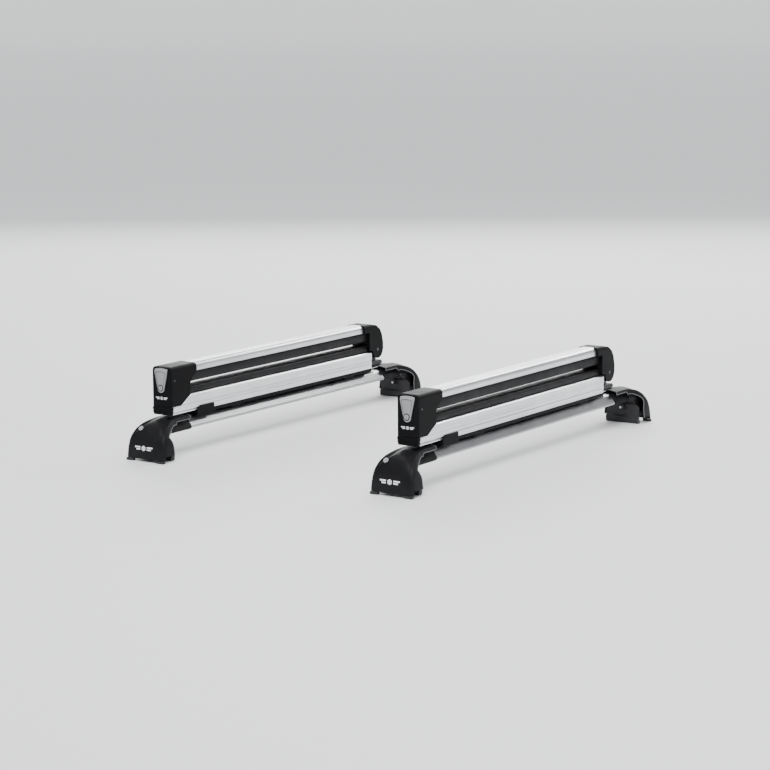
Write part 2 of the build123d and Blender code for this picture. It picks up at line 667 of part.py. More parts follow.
def assembly():
    nodes = {}
    for name, piece in carrier_parts().items():
        for unit_name, unit in UNITS.items():
            nodes[f"{unit_name}_{name}"] = unit * piece
    for name, piece in foot_parts().items():
        for unit_name, unit in UNITS.items():
            for side in SIDES:
                nodes[f"{unit_name}_{side}_{name}"] = unit * on_side(side, piece)
    frame = foot_frame()
    for side in SIDES:
        pair = [unit * on_side(side, frame) for unit in UNITS.values()]
        nodes[f"{side}_foot_frames"] = Compound(children=pair)
    for name, pieces in shared_parts().items():
        nodes[name] = Compound(children=pieces)
    return nodes


os.makedirs("parts", exist_ok=True)
for node_name, node_shape in assembly().items():
    node_shape.label = node_name
    export_step(node_shape, f"parts/{node_name}.step")
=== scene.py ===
import bmesh
import bpy
import json
import math
from mathutils import Matrix, Vector


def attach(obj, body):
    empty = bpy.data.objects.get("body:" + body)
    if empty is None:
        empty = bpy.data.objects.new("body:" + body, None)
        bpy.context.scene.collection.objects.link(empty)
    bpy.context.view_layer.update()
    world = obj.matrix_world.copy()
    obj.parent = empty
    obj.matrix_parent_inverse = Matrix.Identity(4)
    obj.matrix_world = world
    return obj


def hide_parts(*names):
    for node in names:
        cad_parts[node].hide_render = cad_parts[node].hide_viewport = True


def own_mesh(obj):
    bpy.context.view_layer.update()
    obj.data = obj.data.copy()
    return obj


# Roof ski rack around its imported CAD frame.  Metres; +X forward, +Y left, +Z up.
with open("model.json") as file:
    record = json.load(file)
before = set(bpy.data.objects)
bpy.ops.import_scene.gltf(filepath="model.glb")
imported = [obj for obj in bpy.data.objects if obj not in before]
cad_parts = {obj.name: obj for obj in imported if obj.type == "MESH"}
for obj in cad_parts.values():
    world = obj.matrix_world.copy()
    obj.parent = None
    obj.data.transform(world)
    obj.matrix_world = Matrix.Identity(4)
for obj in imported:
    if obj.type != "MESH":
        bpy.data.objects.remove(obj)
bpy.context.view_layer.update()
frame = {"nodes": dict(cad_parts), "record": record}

MM = 0.001
UNITS = {"front": 350.0, "rear": -350.0}      # x of each carrier in millimetres
SIDES = ("right", "left")                     # the left feet mirror the right ones


# ---- camera, light and floor ---------------------------------------------------------------
VIEW_TARGET = Vector((0.0, -0.033, 0.103))    # the camera looks here, in metres
VIEW_AZIMUTH = math.radians(34.309)
VIEW_ELEVATION = math.radians(10.114)
VIEW_ROLL = math.radians(-0.343)
VIEW_DISTANCE = 5.842
LENS_MM = 112.0
SENSOR_MM = 36.0
FRAME_SHIFT = (-0.0079, 0.0198)
FAR_CLIP = 1000.0

AREA_LIGHTS = (                               # name, place, aim, width and height, watts
    ("key", (1.6, -2.6, 3.4), (0.0, 0.0, 0.1), (2.0, 1.0), 100.0),
    ("top", (-0.4, 0.3, 3.2), (0.0, 0.0, 0.1), (2.4, 2.4), 40.0),
    ("back", (-2.6, 3.8, 2.05), (0.0, 0.0, 0.2), (5.0, 1.7), 150.0),
    ("rim", (0.6, 4.1, 2.8), (0.0, 0.0, 0.1), (1.9, 0.7), 70.0),
    ("side", (3.4, -0.6, 1.1), (0.0, 0.0, 0.1), (3.0, 0.7), 25.0),
)
SKY_COLOUR = (0.93, 0.95, 1.0, 1.0)
SKY_STRENGTH = 0.30
SUN_FROM = (0.5, -0.9, 1.6)
SUN_POWER = 2.4
SUN_ANGLE = math.radians(50)

FLOOR_Z = -0.5                                # millimetres from here on, just under the feet
FLOOR_MIDDLE = 3500.0                         # radius of the floor's first ring
FLOOR_FLAT = 35000.0                          # radius at which the floor starts to curve up
FLOOR_CURVE = (12000.0, 22000.0)              # how far out and how high the curve goes
CURVE_STEPS = 12
FLOOR_SIDES = 96


def make_camera():
    data = bpy.data.cameras.new("camera")
    data.lens = LENS_MM
    data.sensor_width = SENSOR_MM
    data.shift_x, data.shift_y = FRAME_SHIFT
    data.clip_end = FAR_CLIP
    camera = bpy.data.objects.new("camera", data)
    bpy.context.scene.collection.objects.link(camera)
    back = Vector((
        math.sin(VIEW_AZIMUTH) * math.cos(VIEW_ELEVATION),
        -math.cos(VIEW_AZIMUTH) * math.cos(VIEW_ELEVATION),
        math.sin(VIEW_ELEVATION)))
    camera.location = VIEW_TARGET + VIEW_DISTANCE * back
    turn = back.to_track_quat("Z", "Y").to_matrix().to_4x4() @ Matrix.Rotation(VIEW_ROLL, 4, "Z")
    camera.rotation_euler = turn.to_euler()
    bpy.context.scene.camera = camera


def make_light(name, kind, away, power):
    """A light whose beam comes from the direction away."""
    data = bpy.data.lights.new(name, kind)
    data.energy = power
    light = bpy.data.objects.new(name, data)
    bpy.context.scene.collection.objects.link(light)
    light.rotation_euler = Vector(away).to_track_quat("Z", "Y").to_euler()
    return light


def make_lights():
    for name, place, aim, size, power in AREA_LIGHTS:
        light = make_light(name, "AREA", Vector(place) - Vector(aim), power)
        light.location = place
        light.data.shape = "RECTANGLE"
        light.data.size, light.data.size_y = size
    make_light("sky", "SUN", SUN_FROM, SUN_POWER).data.angle = SUN_ANGLE


def make_stage():
    world = bpy.data.worlds.new("studio")
    bpy.context.scene.world = world
    world.use_nodes = True
    background = world.node_tree.nodes["Background"]
    background.inputs["Color"].default_value = SKY_COLOUR
    background.inputs["Strength"].default_value = SKY_STRENGTH
    profile = [(0.0, FLOOR_Z), (FLOOR_MIDDLE, FLOOR_Z)]
    out, up = FLOOR_CURVE
    for k in range(CURVE_STEPS + 1):
        t = math.pi / 2 * k / CURVE_STEPS
        profile.append((FLOOR_FLAT + out * math.sin(t), FLOOR_Z + up * (1 - math.cos(t))))
    rings = [circle((0.0, 0.0, z), r, FLOOR_SIDES) for r, z in profile]
    floor = make_piece("floor", skin(rings, caps=False), floor_material(), "")


# ---- materials -----------------------------------------------------------------------------
# Textures are scaled in features to a metre; edge radii and relief depths are in metres.
MIDDLE = (0.3, 0.7)                           # the part of a noise's range that most of it lies in
EDGE_TURN = (0.75, 0.99)                      # cosine of the turn on a full edge and off it
EDGE_SAMPLES = 4
RUBBER_SPECULAR = 0.18


class Nodes:
    """A material's node tree, with one short call for each kind of node."""

    def __init__(self, name):
        self.material = bpy.data.materials.new(name)
        self.material.use_nodes = True
        self.tree = self.material.node_tree
        self.shader = self.tree.nodes["Principled BSDF"]
        self.place = self.add("ShaderNodeTexCoord").outputs["Object"]

    def add(self, kind, **settings):
        node = self.tree.nodes.new(kind)
        for key, value in settings.items():
            setattr(node, key, value)
        return node

    def link(self, out, socket):
        self.tree.links.new(out, socket)

    def stretched(self, scale):
        """The object's own coordinates, scaled by (x, y, z)."""
        mapping = self.add("ShaderNodeMapping")
        mapping.inputs["Scale"].default_value = scale
        self.link(self.place, mapping.inputs["Vector"])
        return mapping.outputs["Vector"]

    def noise(self, vector, scale, detail=3.0, rough=0.5):
        node = self.add("ShaderNodeTexNoise")
        node.inputs["Scale"].default_value = scale
        node.inputs["Detail"].default_value = detail
        node.inputs["Roughness"].default_value = rough
        self.link(vector, node.inputs["Vector"])
        return node.outputs["Fac"]

    def cells(self, vector, scale):
        node = self.add("ShaderNodeTexVoronoi")
        node.inputs["Scale"].default_value = scale
        self.link(vector, node.inputs["Vector"])
        return node.outputs["Distance"]

    def spread(self, value, low, high, start=0.0, end=1.0):
        """Maps start..end of a value to low..high."""
        node = self.add("ShaderNodeMapRange")
        node.inputs["From Min"].default_value = start
        node.inputs["From Max"].default_value = end
        node.inputs["To Min"].default_value = low
        node.inputs["To Max"].default_value = high
        self.link(value, node.inputs["Value"])
        return node.outputs["Result"]

    def combine(self, operation, a, b):
        node = self.add("ShaderNodeMath", operation=operation)
        for socket, value in zip(node.inputs, (a, b)):
            if isinstance(value, (int, float)):
                socket.default_value = value
            else:
                self.link(value, socket)
        return node.outputs["Value"]

    def blend(self, factor, low, high):
        """A colour between two colours."""
        node = self.add("ShaderNodeMix", data_type="RGBA")
        self.link(factor, node.inputs["Factor"])
        for socket, colour in ((node.inputs[6], low), (node.inputs[7], high)):
            if isinstance(colour, tuple):
                socket.default_value = (*colour, 1.0)
            else:
                self.link(colour, socket)
        return node.outputs[2]

    def rounded(self, radius):
        """The normal as if edges were rounded."""
        bevel = self.add("ShaderNodeBevel", samples=EDGE_SAMPLES)
        bevel.inputs["Radius"].default_value = radius
        return bevel.outputs["Normal"]

    def edges(self, radius):
        """How much a point lies on an edge, from how far the rounded normal turns away."""
        plain = self.add("ShaderNodeNewGeometry")
        dot = self.add("ShaderNodeVectorMath", operation="DOT_PRODUCT")
        self.link(self.rounded(radius), dot.inputs[0])
        self.link(plain.outputs["Normal"], dot.inputs[1])
        return self.spread(dot.outputs["Value"], 1.0, 0.0, *EDGE_TURN)

    def bump(self, height, strength, distance, edge_radius):
        """A surface relief over softly rounded edges."""
        node = self.add("ShaderNodeBump")
        node.inputs["Strength"].default_value = strength
        node.inputs["Distance"].default_value = distance
        self.link(height, node.inputs["Height"])
        self.link(self.rounded(edge_radius), node.inputs["Normal"])
        self.link(node.outputs["Normal"], self.shader.inputs["Normal"])

    def finish(self, colour, roughness, metallic=0.0, **fixed):
        self.link(colour, self.shader.inputs["Base Color"])
        self.link(roughness, self.shader.inputs["Roughness"])
        self.shader.inputs["Metallic"].default_value = metallic
        for key, value in fixed.items():
            self.shader.inputs[key.replace("_", " ")].default_value = value
        return self.material


def floor_material():
    n = Nodes("pale_floor")
    mottle = n.noise(n.place, 1.2)
    colour = n.blend(mottle, (0.86, 0.87, 0.88), (0.89, 0.895, 0.90))
    return n.finish(colour, n.spread(mottle, 0.55, 0.7))


def extruded_aluminium(name, dark, light, low_rough, high_rough):
    """Satin anodised aluminium with fine lines along the extrusion."""
    n = Nodes(name)
    lines = n.noise(n.stretched((900, 3.0, 900)), 1.0, 4.0)
    bands = n.noise(n.stretched((90, 1.2, 90)), 1.0, 2.0)
    cloud = n.noise(n.place, 14.0)
    tone = n.combine("ADD", n.combine("MULTIPLY", bands, 0.6), n.combine("MULTIPLY", cloud, 0.4))
    base = n.blend(n.spread(tone, 0.0, 1.0, 0.35, 0.65), dark, light)
    # Edges a little lighter: partly edge wear, partly painted highlight.
    colour = n.blend(n.edges(0.0012), base, tuple(min(1.0, 1.08 * c) for c in light))
    rough = n.combine("ADD", n.spread(lines, low_rough, high_rough, *MIDDLE),
                      n.spread(cloud, -0.02, 0.04))
    n.bump(lines, 0.12, 0.0002, 0.0005)
    return n.finish(colour, rough, 1.0, Anisotropic=0.35)


def moulded_plastic(name, dark, light, grain, low_rough, high_rough, relief, specular):
    """Moulded plastic: a fine spark-eroded grain, faint flow marks and paler edges, partly wear and
    partly painted highlight.
    """
    n = Nodes(name)
    pebble = n.cells(n.place, grain)
    cloud = n.noise(n.place, 22.0, 4.0)
    dust = n.noise(n.place, 260.0, 3.0)
    base = n.blend(n.spread(cloud, 0.0, 1.0, *MIDDLE), dark, light)
    # Paler edges broken up by the dust noise: partly edge wear, partly painted highlight.
    edge_wear_and_highlight = n.combine("MULTIPLY", n.edges(0.0014), n.spread(dust, 0.0, 0.5, 0.42, 0.6))
    colour = n.blend(edge_wear_and_highlight, base, tuple(min(1.0, 2.2 * c + 0.02) for c in light))
    rough = n.combine("ADD", n.spread(cloud, low_rough, high_rough, *MIDDLE),
                      n.spread(pebble, -0.03, 0.05, 0.0, 0.6))
    n.bump(n.combine("ADD", pebble, dust), relief, 0.00025, 0.0006)
    return n.finish(colour, rough, Specular_IOR_Level=specular)


def rubber(name, dark, light, low_rough, high_rough):
    """Rubber with open pores and a faint grey bloom."""
    n = Nodes(name)
    pores = n.noise(n.place, 900.0, 3.0, 0.6)
    cloud = n.noise(n.place, 30.0, 4.0)
    bloom = n.spread(n.noise(n.stretched((20, 5, 20)), 1.0), 0.0, 1.0, 0.45, 0.75)
    colour = n.blend(bloom, dark, light)
    n.bump(pores, 0.2, 0.0002, 0.0006)
    return n.finish(colour, n.spread(cloud, low_rough, high_rough, *MIDDLE),
                    Specular_IOR_Level=RUBBER_SPECULAR)


def plated_steel(name, tint, low_rough, high_rough):
    """Turned and plated steel."""
    n = Nodes(name)
    turned = n.noise(n.stretched((300, 2500, 300)), 1.0)
    cloud = n.noise(n.place, 120.0)
    colour = n.blend(cloud, tint, tuple(min(1.0, c * 1.25) for c in tint))
    n.bump(turned, 0.1, 0.0001, 0.0003)
    return n.finish(colour, n.spread(turned, low_rough, high_rough, *MIDDLE), 1.0)


def powder_coat(name, dark, light, low_rough, high_rough):
    """A coated casting: orange peel over sand texture."""
    n = Nodes(name)
    peel = n.noise(n.place, 700.0, 2.0)
    sand = n.noise(n.place, 60.0, 4.0)
    colour = n.blend(sand, dark, light)
    n.bump(peel, 0.3, 0.0003, 0.0008)
    return n.finish(colour, n.spread(sand, low_rough, high_rough, *MIDDLE))


# Finishes: name, darker and lighter colour, and what its function takes after them.
ALUMINIUMS = (                                # least and most roughness
    ("silver_aluminium", (0.64, 0.65, 0.67), (0.87, 0.875, 0.88), 0.24, 0.38),
    # A darker copy of the silver aluminium for the roof bars: painted dark reflection.
    ("bar_aluminium", (0.38, 0.385, 0.395), (0.48, 0.485, 0.49), 0.24, 0.34),
)
PLASTICS = (                                  # grain, least and most roughness, relief, specular
    ("black_plastic", (0.003, 0.0031, 0.0035), (0.0055, 0.0057, 0.0062),
     1500, 0.34, 0.46, 0.16, 0.06),
    ("cover_plastic", (0.006, 0.0061, 0.0066), (0.01, 0.0102, 0.011), 1300, 0.36, 0.48, 0.16, 0.11),
    ("button_plastic", (0.24, 0.245, 0.255), (0.30, 0.305, 0.315), 1800, 0.36, 0.46, 0.1, 0.06),
    ("lock_plug", (0.3, 0.31, 0.32), (0.36, 0.37, 0.38), 2000, 0.35, 0.5, 0.1, 0.06),
    # Lighter grey than the cover plastic: painted highlight along the cover's rim bead.
    ("cover_rim", (0.10, 0.102, 0.106), (0.13, 0.132, 0.136), 1500, 0.3, 0.4, 0.16, 0.06),
    ("mark_white", (0.86, 0.865, 0.87), (0.92, 0.925, 0.93), 1500, 0.35, 0.5, 0.08, 0.06),
    # Dark grey for the bead round the button's panel: painted shade of the panel's sunken edge.
    ("seam_plastic", (0.05, 0.051, 0.054), (0.07, 0.071, 0.075), 1800, 0.4, 0.5, 0.16, 0.06),
)
RUBBERS = (                                   # least and most roughness
    ("pad_rubber", (0.006, 0.006, 0.0066), (0.012, 0.012, 0.013), 0.42, 0.55),
    ("black_rubber", (0.004, 0.004, 0.0045), (0.008, 0.008, 0.0088), 0.5, 0.7),
)
STEELS = (                                    # one colour, least and most roughness
    ("lock_metal", (0.32, 0.32, 0.33), 0.24, 0.38),
    # A darker copy of the steel for the latch pawl and hinge pin: painted shade over their pin
    # ends.
    ("dark_steel", (0.10, 0.10, 0.105), 0.35, 0.5),
    ("steel", (0.42, 0.42, 0.43), 0.3, 0.45),
)
CASTINGS = (("black_casting", (0.008, 0.008, 0.009), (0.016, 0.016, 0.0175), 0.5, 0.7),)
FINISHES = ((extruded_aluminium, ALUMINIUMS), (moulded_plastic, PLASTICS), (rubber, RUBBERS),
            (plated_steel, STEELS), (powder_coat, CASTINGS))
MATERIALS = {row[0]: make(*row) for make, rows in FINISHES for row in rows}

# Kinds of node whose finish isn't that of their material slot.
# The latch pawl's and hinge pin's darker steel is painted shade over their pin ends.
# The roof bars' darker aluminium is a painted dark reflection.
OWN_FINISH = {"roof_bar": "bar_aluminium", "latch_pawl": "dark_steel", "hinge_pin": "dark_steel"}


def dress_frame():
    """Every CAD node gets the finish of its material slot, or its own where one is named."""
    slots = {part["node"]: part["material_slot"] for part in frame["record"]["subparts"]}
    for name, node in frame["nodes"].items():
        kind = name.split("_", 1)[1]
        node.data.materials.clear()
        node.data.materials.append(MATERIALS[OWN_FINISH.get(kind, slots[name])])


# ---- mesh helpers: pieces are described in millimetres in one unit's own place ----------------
BEAD_SIDE = Vector((0.3, 0.2, 1.0))           # no bead runs along this
BORE_DEPTH = 2.0                              # reach of a bore along its axis, in radii
BORE_PULL = 1.15                              # points inside this many radii move onto its edge
RIBBON_STEP = 2.0
RIBBON_ROOT = 0.3                             # how far a raised bar is sunk in its face
RIBBON_HEIGHT = 0.4
WELD = 1e-6                                   # metres
SHARP_EDGE = math.radians(38)


def between(table, steps):
    """Rows of numbers eased through a table's rows, with this many steps to each gap."""
    rows = []
    for i in range(len(table) - 1):
        four = (table[max(i - 1, 0)], table[i], table[i + 1], table[min(i + 2, len(table) - 1)])
        for k in range(steps):
            t = k / steps
            rows.append([0.5 * (2 * q + (r - p) * t + (2 * p - 5 * q + 4 * r - s) * t * t
                                + (3 * q - p - 3 * r + s) * t ** 3) for p, q, r, s in zip(*four)])
    rows.append(list(table[-1]))
    return rows


def ease(value):
    """0 below 0, 1 above 1 and a smooth step between."""
    value = min(1.0, max(0.0, value))
    return value * value * (3 - 2 * value)


def circle(centre, radius, count, across=(1.0, 0.0, 0.0), along=(0.0, 1.0, 0.0)):
    """Points round a circle in the plane of two unit directions."""
    centre, across, along = Vector(centre), Vector(across), Vector(along)
    turns = [2 * math.pi * k / count for k in range(count)]
    return [centre + radius * (math.cos(t) * across + math.sin(t) * along) for t in turns]


def skin(rows, closed=True, caps=True):
    """Points and faces over rows of points; closed rows are rings, and caps fill the ends."""
    wide = len(rows[0])
    faces = []
    for near in range(0, (len(rows) - 1) * wide, wide):
        far = near + wide
        for c in range(wide if closed else wide - 1):
            d = (c + 1) % wide
            faces.append((near + c, near + d, far + d, far + c))
    if closed and caps:
        faces.append(tuple(range(wide)))
        faces.append(tuple((len(rows) - 1) * wide + c for c in range(wide)))
    return [tuple(p) for row in rows for p in row], faces


def joined(*pieces):
    points, faces = [], []
    for some, more in pieces:
        faces += [tuple(i + len(points) for i in face) for face in more]
        points += some
    return points, faces


def tube(path, radius, sides=8, closed=False):
    """A round bead along a path of points."""
    rows = []
    side = BEAD_SIDE
    for i, point in enumerate(path):
        ahead = path[(i + 1) % len(path)] if closed or i + 1 < len(path) else point
        behind = path[i - 1] if closed or i else point
        along = (Vector(ahead) - Vector(behind)).normalized()
        side = (side - side.dot(along) * along).normalized()
        up = along.cross(side)
        rows.append(circle(point, radius, sides, side, up))
    if closed:
        rows.append(rows[0])
    return skin(rows, caps=not closed)


def ribbon(start, end, width, face):
    """A raised straight bar in (x, z) on a face whose depth y is face(x, z)."""
    start, end = Vector(start), Vector(end)
    steps = max(2, round((end - start).length / RIBBON_STEP))
    across = (end - start).normalized().orthogonal() * width / 2
    rows = []
    for k in range(steps + 1):
        middle = start.lerp(end, k / steps)
        low, high = middle - across, middle + across
        rows.append([(low.x, face(*low) + RIBBON_ROOT, low.y),
                     (low.x, face(*low) - RIBBON_HEIGHT, low.y),
                     (high.x, face(*high) - RIBBON_HEIGHT, high.y),
                     (high.x, face(*high) + RIBBON_ROOT, high.y)])
    return skin(rows)


def bored(shape, at, axis, radius):
    """The same skin with a round hole of this radius about an axis, near one point of it."""
    points, faces = shape
    points = [Vector(p) for p in points]

    def off_axis(point):
        away = point - at
        if abs(away.dot(axis)) > BORE_DEPTH * radius:
            return None
        return away - away.dot(axis) * axis

    kept = []
    for face in faces:
        out = off_axis(sum((points[i] for i in face), Vector()) / len(face))
        if out is None or out.length > radius:
            kept.append(face)
    for i, point in enumerate(points):
        out = off_axis(point)
        if out and 0 < out.length < BORE_PULL * radius:
            points[i] = point + out * (radius / out.length - 1)
    used = sorted({i for face in kept for i in face})
    place = {old: new for new, old in enumerate(used)}
    return [tuple(points[i]) for i in used], [tuple(place[i] for i in face) for face in kept]


def backed(shape, depth):
    """The skin closed by a copy of itself this much further along y."""
    points, faces = shape
    count = len(points)
    sides = {(face[i - 1], face[i]) for face in faces for i in range(len(face))}
    rim = [(b, a, a + count, b + count) for a, b in sides if (b, a) not in sides]
    back = [tuple(i + count for i in reversed(face)) for face in faces]
    return points + [(x, y + depth, z) for x, y, z in points], faces + back + rim


def make_piece(name, shape, material, body, unit="", side="right", smooth=True, wall=0.0,
               replaces=()):
    """A finished object from points and faces in millimetres, riding on its CAD body."""
    points, faces = shape
    shift = UNITS.get(unit, 0.0)
    flip = -1.0 if side == "left" else 1.0
    mesh = bpy.data.meshes.new(name)
    mesh.from_pydata([((x + shift) * MM, flip * y * MM, z * MM) for x, y, z in points], [], faces)
    work = bmesh.new()
    work.from_mesh(mesh)
    bmesh.ops.remove_doubles(work, verts=work.verts, dist=WELD)
    if wall:
        outer = max(work.faces, key=lambda f: -flip * f.calc_center_median().y)
        if outer.normal.y * flip > 0:
            bmesh.ops.reverse_faces(work, faces=work.faces)
        bmesh.ops.solidify(work, geom=work.faces[:], thickness=wall * MM)
    bmesh.ops.recalc_face_normals(work, faces=work.faces)
    for face in work.faces:
        face.smooth = smooth
    work.to_mesh(mesh)
    work.free()
    mesh.materials.append(material)
    piece = bpy.data.objects.new(name, mesh)
    bpy.context.scene.collection.objects.link(piece)
    if smooth:
        mesh.set_sharp_from_angle(angle=SHARP_EDGE)
    if replaces:
        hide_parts(*replaces)
    if body:
        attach(piece, body)
    return piece


# ---- foot covers ---------------------------------------------------------------------------
# Stations from the cover's front foot over its crown to the end of its neck: (y, z) of the
# crown line, (x, y, z) of the side ridge, (x, y, z) of the rim towards the bar, where the
# front bulge ends as a share of the half width, and the depth of the valley behind it.
COVER_STATIONS = (
    (-550.0, 6.5, 57.0, -547.0, 6.5, 57.4, -508.0, 6.5, 1.30, 0.0),
    (-550.0, 15.3, 56.6, -547.0, 15.3, 57.2, -508.0, 15.3, 1.25, 0.0),
    (-549.4, 30.0, 55.3, -545.8, 30.0, 56.2, -508.2, 28.0, 1.15, 0.0),
    (-547.4, 44.0, 53.4, -543.2, 44.0, 54.4, -509.5, 42.0, 1.02, 0.3),
    (-543.2, 56.0, 51.0, -538.8, 55.4, 52.0, -515.0, 53.5, 0.92, 1.8),
    (-536.0, 68.2, 47.6, -531.8, 66.2, 49.5, -517.0, 58.5, 0.78, 3.2),
    (-526.0, 78.8, 43.8, -522.2, 75.8, 47.2, -512.0, 65.2, 0.58, 3.9),
    (-513.0, 86.6, 39.6, -509.8, 83.2, 43.8, -503.6, 70.6, 0.30, 4.2),
    (-497.0, 92.0, 35.2, -494.6, 88.2, 38.6, -492.0, 76.0, -0.10, 3.6),
    (-482.0, 95.2, 32.0, -480.6, 91.2, 33.8, -480.6, 79.2, -0.50, 2.8),
    (-468.0, 96.8, 30.4, -467.4, 92.8, 30.8, -467.2, 79.8, -0.85, 1.8),
    (-462.0, 97.1, 29.9, -462.0, 93.0, 30.1, -463.4, 85.4, -0.95, 1.5),
    (-440.0, 97.2, 29.4, -440.0, 93.0, 29.5, -440.0, 85.5, -1.00, 1.0),
    (-413.0, 97.0, 29.2, -413.0, 92.6, 29.2, -413.0, 85.5, -1.00, 0.8),
)
STATION_STEPS = 7                             # rows to each gap between stations
FACE_STEPS = 24                               # points from the crown line to the ridge
FLANK_STEPS = 14                              # points from the ridge to the rim
FLANK_BOW = 0.8                               # how far the flanks bow out halfway down
VALLEY_BANK = (0.14, 0.3)                     # near bank: width at a full bulge, more without one
VALLEY_SHORE = (0.55, 0.4)                    # far bank: its start, and how far the bulge moves it
SHORE_LIMIT = 0.98
RIDGE_REACH = 6                               # points each side of the ridge that are evened out
RIDGE_PASSES = 7
RAIL_SLOT_Y = -541.3                          # the flanks are open behind this, below station two
COVER_WALL = 2.2
RIM_BEAD = 1.15

FOOT_LOCK_TILT = math.radians(46.6)
FOOT_LOCK_AT = Vector((-26.0, -529.7, 75.3))
FOOT_LOCK_AXIS = Vector((0.0, -math.sin(FOOT_LOCK_TILT), math.cos(FOOT_LOCK_TILT)))
LOCK_HOLE = 6.7
LOCK_RING_SINK = 0.9
LOCK_RING_GAP = 0.3
LOCK_RING_BEAD = 0.6
RING_STEPS = 40


def valley_share(a, bulge_end):
    """How much of the valley's depth there is at the share a of the half width."""
    bank, wider = VALLEY_BANK
    shore, moved = VALLEY_SHORE
    rise = ease((a * a - bulge_end * abs(bulge_end)) / (bank + wider * (1 - bulge_end)))
    start = shore + moved * max(bulge_end, 0.0)
    return rise * (1 - ease((a - start) / (1 - min(start, SHORE_LIMIT))))


def cover_half_row(table, i):
    """Points from the crown line over the ridge down to the rim at one row of the table."""
    y, z, ridge_x, ridge_y, ridge_z, rim_x, rim_y, rim_z, bulge_end, valley = table[i]
    before, after = table[max(i - 1, 0)], table[min(i + 1, len(table) - 1)]
    along = Vector((0.0, after[0] - before[0], after[1] - before[1])).normalized()
    inward = Vector((0.0, along.z, -along.y))
    ridge, rim = Vector((ridge_x, ridge_y, ridge_z)), Vector((rim_x, rim_y, rim_z))
    row = []
    for k in range(FACE_STEPS + 1):
        a = k / FACE_STEPS
        point = Vector((a * ridge_x, y + (ridge_y - y) * a * a, z + (ridge_z - z) * a * a))
        row.append(point + valley * valley_share(a, bulge_end) * inward)
    for k in range(1, FLANK_STEPS + 1):
        b = k / FLANK_STEPS
        row.append(ridge.lerp(rim, b) + Vector((FLANK_BOW * math.sin(math.pi * b), 0.0, 0.0)))
    first, last = FACE_STEPS - RIDGE_REACH, FACE_STEPS + RIDGE_REACH
    for _ in range(RIDGE_PASSES):
        evened = [(row[j - 1] + 2 * row[j] + row[j + 1]) / 4 for j in range(first, last + 1)]
        row = row[:first] + evened + row[last + 1:]
    return row


def cover_rows():
    """Rows of points across the whole cover, from rim to rim."""
    table = between(COVER_STATIONS, STATION_STEPS)
    rows = []
    for i in range(len(table)):
        half = cover_half_row(table, i)
        rows.append([Vector((-p.x, p.y, p.z)) for p in reversed(half[1:])] + half)
    return rows


def cover_shell(rows):
    """The cover's outer skin, open over the rail slot in its flanks and round its lock."""
    points, faces = skin(rows, closed=False)
    slot_top = COVER_STATIONS[1][1]
    kept = []
    for face in faces:
        middle = sum((Vector(points[i]) for i in face), Vector()) / len(face)
        if middle.z > slot_top or middle.y < RAIL_SLOT_Y:
            kept.append(face)
    return bored((points, kept), FOOT_LOCK_AT, FOOT_LOCK_AXIS, LOCK_HOLE)


def cover_rim(rows):
    """The path of the rim: up one flank, round the neck's end and down the other flank."""
    upper = rows[STATION_STEPS:]
    return [r[-1] for r in upper] + rows[-1][-2:0:-1] + [r[0] for r in reversed(upper)]


def cover_face_y(rows):
    """A function for the depth of the cover's front face at (x, z)."""
    lines = [(row[len(row) // 2 + FACE_STEPS // 2], row[len(row) // 2]) for row in rows]

    def depth(x, z):
        for (side_low, low), (side_high, high) in zip(lines, lines[1:]):
            if low.z <= z <= high.z:
                t = (z - low.z) / (high.z - low.z)
                middle, side = low.lerp(high, t), side_low.lerp(side_high, t)
                return middle.y + (side.y - middle.y) * (x / side.x) ** 2
        return lines[0][1].y

    return depth


CRYSTAL_ARM = (5.0, 1.4)                      # length and width
CRYSTAL_TWIG = (1.7, 4.6, 1.1)                # its tip beside and along the arm, and its width
MARK_BARS = ((2.1, 22.0), (-2.1, 18.0))       # height and reach of the two bars on each side
MARK_BAR_START = 8.5
MARK_BAR_WIDTH = 2.7


def generic_mark(x, z, scale, face):
    """A raised mark: a small snow crystal between two pairs of bars."""
    centre = Vector((x, z))
    arm_length, arm_width = CRYSTAL_ARM
    beside, ahead, twig_width = CRYSTAL_TWIG
    parts = []
    for k in range(6):
        turn = Matrix.Rotation(math.pi * k / 3, 2)
        arm = turn @ Vector((0.0, arm_length * scale))
        parts.append(ribbon(centre, centre + arm, arm_width * scale, face))
        for lean in (-1, 1):
            twig = turn @ Vector((lean * beside * scale, ahead * scale))
            parts.append(ribbon(centre + arm / 2, centre + twig, twig_width * scale, face))
    for side in (-1, 1):
        for height, reach in MARK_BARS:
            level = z + height * scale
            near, far = x + side * MARK_BAR_START * scale, x + side * reach * scale
            parts.append(ribbon((near, level), (far, level), MARK_BAR_WIDTH * scale, face))
    return joined(*parts)


COVER_MARK = (-3.0, 32.0, 1.2)                # x, z and scale


def make_foot_covers():
    rows = cover_rows()
    shell = cover_shell(rows)
    bead = tube(cover_rim(rows), RIM_BEAD)
    across = Vector((1.0, 0.0, 0.0))
    seat = FOOT_LOCK_AT - LOCK_RING_SINK * FOOT_LOCK_AXIS
    ring = circle(seat, LOCK_HOLE + LOCK_RING_GAP, RING_STEPS, across, FOOT_LOCK_AXIS.cross(across))
    bezel = tube(ring, LOCK_RING_BEAD, closed=True)
    mark = generic_mark(*COVER_MARK, cover_face_y(rows))
    for unit in UNITS:
        for side in SIDES:
            node = f"{unit}_{side}_foot_cover"
            place = {"unit": unit, "side": side}
            make_piece(f"{node}_shell", shell, MATERIALS["cover_plastic"], node, wall=COVER_WALL,
                       replaces=(node,), **place)
            # The rim bead's lighter grey is a painted highlight.
            make_piece(f"{node}_rim", bead, MATERIALS["cover_rim"], node, **place)
            make_piece(f"{node}_lock_ring", bezel, MATERIALS["cover_plastic"], node, **place)
            make_piece(f"{node}_mark", mark, MATERIALS["mark_white"], node, smooth=False, **place)


